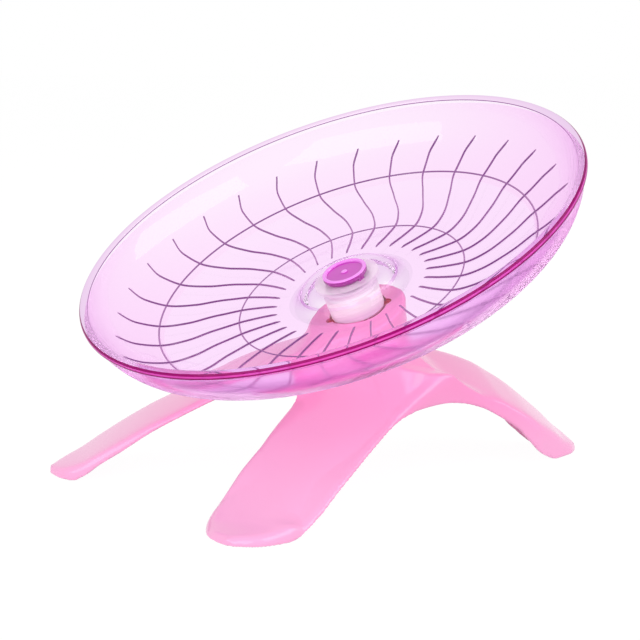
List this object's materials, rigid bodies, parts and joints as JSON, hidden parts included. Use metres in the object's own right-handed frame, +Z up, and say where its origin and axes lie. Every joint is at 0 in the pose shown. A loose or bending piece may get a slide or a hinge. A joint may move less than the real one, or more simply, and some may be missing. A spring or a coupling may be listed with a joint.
{
  "type": "flying saucer wheel",
  "caption": "Small-pet running disc: a clear tilted dish with sweeping grip ribs spins on a ball bearing over a splayed glossy stand.",
  "frame": {"origin": "middle of the model's box at floor height", "axes": "+Z up; -Y towards the low side of the tilted dish; +X across the tilt, to the right when the low side faces the viewer; the spin axis leans 26.9 degrees from +Z towards -Y"},
  "size_m": [0.1798, 0.1664, 0.1294],
  "materials": {
    "clear_dish": "clear pink-violet tint, polished",
    "cap": "glossy translucent magenta",
    "seat": "white, satin",
    "stand": "glossy pink",
    "cage": "natural nylon",
    "bearing_steel": "ground and polished",
    "steel": "zinc plated"
  },
  "bodies": {
    "stand_assembly": {"stand": "stand", "bearing_seat": "seat", "seat_screw_left": "steel", "seat_screw_right": "steel", "bearing_outer_race": "bearing_steel", "bearing_shield_upper": "bearing_steel", "bearing_shield_lower": "bearing_steel"},
    "saucer_assembly": {"saucer": "clear_dish", "hub_cap": "cap", "spindle": "steel", "spindle_spacer": "seat", "spindle_washer": "steel", "spindle_clip": "steel", "bearing_inner_race": "bearing_steel"},
    "bearing_cage_assembly": {"bearing_cage": "cage", "bearing_ball_1": "bearing_steel", "bearing_ball_2": "bearing_steel", "bearing_ball_3": "bearing_steel", "bearing_ball_4": "bearing_steel", "bearing_ball_5": "bearing_steel", "bearing_ball_6": "bearing_steel", "bearing_ball_7": "bearing_steel"}
  },
  "joints": [
    {"name": "saucer_spin", "type": "hinge", "parent": "stand_assembly", "child": "saucer_assembly", "pos_m": [0, 0.01058, 0.06163], "axis": [0, -0.4524, 0.8918], "continuous": true},
    {"name": "cage_orbit", "type": "hinge", "parent": "stand_assembly", "child": "bearing_cage_assembly", "pos_m": [0, 0.01058, 0.06163], "axis": [0, -0.4524, 0.8918], "continuous": true}
  ],
  "couplings": [
    {"joint": "cage_orbit", "follows": "saucer_spin", "ratio": 0.3952}
  ]
}
